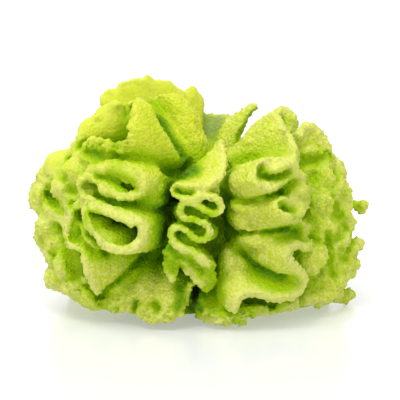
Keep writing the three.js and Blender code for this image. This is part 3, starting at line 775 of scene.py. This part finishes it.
def hemisphere():
    """Directions spread over the half of a ball round +Z, more of them near the top."""
    golden = math.pi * (3 - math.sqrt(5))
    rays = []
    for k in range(CREVICE_RAYS):
        radius = math.sqrt((k + 0.5) / CREVICE_RAYS)
        height = math.sqrt(1 - radius * radius)
        rays.append(Vector((radius * math.cos(k * golden), radius * math.sin(k * golden), height)))
    return rays


def crevice_depth(mesh, tree):
    """For each point of the skin, 0 in the open to 1 deep in a crevice; this sets the painted shade of the
    colour.
    """
    rays = hemisphere()
    picked = range(0, len(mesh.vertices), SAMPLE_EVERY)
    near = kdtree.KDTree(len(picked))
    found = []
    for k, index in enumerate(picked):
        v = mesh.vertices[index]
        turn = Vector((0, 0, 1)).rotation_difference(v.normal)
        start = v.co + v.normal * RAY_LIFT
        shade = 0.0
        for ray in rays:
            distance = tree.ray_cast(start, turn @ ray, CREVICE_REACH)[3]
            if distance is not None:
                shade += 1 - distance / CREVICE_REACH
        found.append(shade / CREVICE_RAYS)
        near.insert(v.co, k)
    near.balance()
    depth = np.empty(len(mesh.vertices))
    for i, v in enumerate(mesh.vertices):
        depth[i] = np.mean([found[k] for _, k, _ in near.find_n(v.co, NEAREST_SAMPLES)])
    return depth


def rim_nearness(mesh):
    """For each point of the skin, 1 on the free edge of a fin to 0 away from it."""
    routes = [p[:3] for fin in FINS for p in smooth_route(fin["edge"], EDGE_SAMPLE_STEP)]
    near = kdtree.KDTree(len(routes))
    for k, p in enumerate(routes):
        near.insert(p, k)
    near.balance()
    return np.array([1 - ramp(RIM_WIDTH, near.find(v.co)[2]) for v in mesh.vertices])


def store(mesh, name, values):
    layer = mesh.attributes.new(name, "FLOAT", "POINT")
    layer.data.foreach_set("value", values.astype(np.float32))


def make_paste():
    skin = skinned(joined_paste())
    worked(skin)
    grain(skin)
    paste = lighter(skin)
    places = coordinates(paste)
    tree = search_tree(paste)
    # Painted shade: the crevice depth is stored so that the colour darkens where shade falls in the folds.
    crevice = crevice_depth(paste, tree)
    # Painted shade and painted light: the strokes add shade to the crevice depth, or take it away.
    shade = np.zeros(len(crevice))
    for *points, width, amount in PAINTED_SHADE_AND_LIGHT:
        reach = amount * stroke_reach(places, touched(tree, points)[0], width)[0]
        crevice += reach
        shade += np.maximum(reach, 0.0)
    store(paste, "crevice", crevice)
    store(paste, "shade", shade)
    store(paste, "calm", np.array([calm_share(p) for p in places]))
    store(paste, "rim", rim_nearness(paste))
    store(paste, "crater_shade", stroke_reach(places, touched(tree, CRATER_SHADE_POINTS)[0], CRATER_SHADE_REACH)[0])
    set_coordinates(paste, places * MM)
    paste.shade_smooth()
    return new_piece("paste", paste)


# Colours of the paste. The rim yellow is painted highlight; the shade and crater tints are painted shade.
PATCH_GREEN = (0.49, 0.60, 0.015, 1)
PATCH_YELLOW = (0.57, 0.65, 0.035, 1)
GRAIN_CREAM = (0.71, 0.725, 0.20, 1)
RIM_HIGHLIGHT_YELLOW = (0.69, 0.70, 0.19, 1)
CROWN_YELLOW = (0.62, 0.69, 0.02, 1)
SHADE_GREEN = (0.40, 0.595, 0.002, 1)
CREVICE_SHADE_GREEN = (0.19, 0.45, 0.0005, 1)
DEEP_SHADE_GREEN = (0.04, 0.07, 0.0005, 1)
DARKEST_SHADE_GREEN = (0.015, 0.03, 0.0003, 1)
CRATER_SHADE_GREY = (0.24, 0.33, 0.09, 1)

# Ramps: the values that each starts and ends at, then the amounts that they become.
NO_RAMP = (0, 1)  # a value from 0 to 1, as it is
PATCHES = (0.35, 0.65, 0, 1)
GRAINS = (0.4, 0.68, 0, 1)
RIM_HIGHLIGHT = NO_RAMP + (0, 0.75)
CROWN_UP = (17 * MM, 27 * MM, 0, 0.7)
CROWN_RIGHT = (0.5 * MM, 4 * MM, 1, 0.2)
CREVICE_SHADE_TINTS = [
    ((0.07, 0.35, 0, 1), SHADE_GREEN), ((0.44, 0.88, 0, 1), CREVICE_SHADE_GREEN), ((0.95, 1.35, 0, 1), DEEP_SHADE_GREEN),
]
SHADE = (0, 0.6, 0, 0.36)
CRATER_SHADE_TINT = (0.1, 0.9, 0, 0.8)
ROUGHNESS = NO_RAMP + (0.62, 0.42)  # between the grains and on them
CELLS = (0, 0.9, 1, 0)
CALM_RELIEF = NO_RAMP + (1, 0.3)
PATCHES_PER_METRE = 260.0
GRAINS_PER_METRE = 2300.0
CLOUD_DETAIL = 2.0
RELIEF_HEIGHT = 0.15 * MM
PASTE_FINISH = {
    "Specular IOR Level": 0.12, "Subsurface Weight": 0.2, "Subsurface Radius": (1.0, 1.0, 0.25),
    "Subsurface Scale": 0.35 * MM,
}


def new_material(name, finish):
    """A material and its main shader, with the values of its finish set."""
    material = bpy.data.materials.new(name)
    material.use_nodes = True
    shader = material.node_tree.nodes["Principled BSDF"]
    for name, value in finish.items():
        shader.inputs[name].default_value = value
    return material, shader


def node(graph, kind, inputs, **settings):
    """A new node. Its inputs are set to a value, or linked where the value is another node's output."""
    made = graph.nodes.new(kind)
    for key, value in settings.items():
        setattr(made, key, value)
    for name, value in inputs.items():
        feed(value, made.inputs[name])
    return made


def feed(value, socket):
    if isinstance(value, bpy.types.NodeSocket):
        socket.id_data.links.new(value, socket)  # id_data is the graph that the socket is part of
    else:
        socket.default_value = value


def attribute(graph, name):
    return node(graph, "ShaderNodeAttribute", {}, attribute_name=name).outputs["Fac"]


def ramped(value, values):
    inputs = dict(zip(("Value", "From Min", "From Max", "To Min", "To Max"), (value, *values)))
    return node(value.id_data, "ShaderNodeMapRange", inputs).outputs["Result"]


def multiplied(first, second):
    inputs = {0: first, 1: second}
    return node(first.id_data, "ShaderNodeMath", inputs, operation="MULTIPLY").outputs["Value"]


def mixed(share, first, second):
    inputs = {"Factor": share, "A": first, "B": second}
    return node(share.id_data, "ShaderNodeMix", inputs, data_type="RGBA").outputs["Result"]


def cloud(places, scale):
    inputs = {"Vector": places, "Scale": scale, "Detail": CLOUD_DETAIL}
    return node(places.id_data, "ShaderNodeTexNoise", inputs).outputs["Fac"]


def paste_colour(graph, places, grains):
    """Patches and grains, a painted highlight on the rims, a yellower crown, and painted shade in folds and
    crater.
    """
    patches = ramped(cloud(places, PATCHES_PER_METRE), PATCHES)
    colour = mixed(patches, PATCH_GREEN, PATCH_YELLOW)
    colour = mixed(grains, colour, GRAIN_CREAM)
    # Painted highlight: near the free edges the colour turns paler, standing in for light through the thin
    # rims.
    colour = mixed(ramped(attribute(graph, "rim"), RIM_HIGHLIGHT), colour, RIM_HIGHLIGHT_YELLOW)
    parts = node(graph, "ShaderNodeSeparateXYZ", {"Vector": places}).outputs
    crown = multiplied(ramped(parts["Z"], CROWN_UP), ramped(parts["X"], CROWN_RIGHT))
    colour = mixed(crown, colour, CROWN_YELLOW)
    # Painted shade: the colour turns greener and darker with crevice depth, standing in for the shade in the
    # folds.
    crevice = attribute(graph, "crevice")
    for values, tint in CREVICE_SHADE_TINTS:
        colour = mixed(ramped(crevice, values), colour, tint)
    # Painted shade: along the shade strokes the colour darkens further towards a near black green.
    colour = mixed(ramped(attribute(graph, "shade"), SHADE), colour, DARKEST_SHADE_GREEN)
    # Painted shade: the open middle of the crown turns greyer, standing in for the shade in that hollow.
    return mixed(ramped(attribute(graph, "crater_shade"), CRATER_SHADE_TINT), colour, CRATER_SHADE_GREY)


def grain_relief(graph, places):
    """The direction of the surface with its fine grains, which are lower on the calm petals."""
    cells = node(graph, "ShaderNodeTexVoronoi", {"Vector": places, "Scale": GRAINS_PER_METRE})
    height = ramped(cells.outputs["Distance"], CELLS)
    calm = ramped(attribute(graph, "calm"), CALM_RELIEF)
    inputs = {"Strength": 1.0, "Distance": RELIEF_HEIGHT, "Height": multiplied(height, calm)}
    return node(graph, "ShaderNodeBump", inputs).outputs["Normal"]


def paste_material():
    material, shader = new_material("wasabi_paste", PASTE_FINISH)
    graph = material.node_tree
    places = node(graph, "ShaderNodeTexCoord", {}).outputs["Object"]
    grains = ramped(cloud(places, GRAINS_PER_METRE), GRAINS)
    feed(paste_colour(graph, places, grains), shader.inputs["Base Color"])
    feed(ramped(grains, ROUGHNESS), shader.inputs["Roughness"])
    feed(grain_relief(graph, places), shader.inputs["Normal"])
    return material


paste = make_paste()
paste.data.materials.append(paste_material())
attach(paste, "root")
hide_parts("wasabi_paste")

# The studio, in metres and watts. The floor glows a little, like a light table.
WHITE = (1, 1, 1, 1)
FLOOR_FINISH = {
    "Base Color": (0.56, 0.56, 0.56, 1), "Roughness": 0.22,
    "Emission Color": WHITE, "Emission Strength": 0.35,
}
FLOOR_REACH = 3.0
SKY_STRENGTH = 0.97
KEY_PLACE = (-0.08, -0.17, 0.40)
KEY_SIZE = 0.22
KEY_POWER = 1.0
KEY_TARGET = (0, 0, 0.012)
SENSOR_WIDTH = 36  # mm


def place(item, position, target):
    """Puts a light or a camera in its place and turns it towards its target."""
    item.location = position
    item.rotation_euler = (Vector(target) - item.location).to_track_quat("-Z", "Y").to_euler()


sheet = bmesh.new()
bmesh.ops.create_grid(sheet, x_segments=1, y_segments=1, size=FLOOR_REACH)
floor = new_piece("floor", to_mesh(sheet, "floor"))
floor.data.materials.append(new_material("floor_white", FLOOR_FINISH)[0])

world = bpy.data.worlds.new("studio")
world.use_nodes = True
background = world.node_tree.nodes["Background"]
background.inputs["Color"].default_value = WHITE
background.inputs["Strength"].default_value = SKY_STRENGTH

light = bpy.data.lights.new("key", "AREA")
light.size = KEY_SIZE
light.energy = KEY_POWER
place(new_piece("key", light), KEY_PLACE, KEY_TARGET)

# The camera takes the front view, with the whole drawing in the picture.
lens = bpy.data.cameras.new("camera")
lens.sensor_width = SENSOR_WIDTH
lens.lens = SENSOR_WIDTH * VIEW_DISTANCE / (GRID_STEP * 2 * SHEET_MIDDLE)
camera = new_piece("camera", lens)
place(camera, VIEW_PLACE * MM, VIEW_TARGET * MM)

scene = bpy.context.scene
scene.world = world
scene.camera = camera
scene.view_settings.view_transform = "Standard"
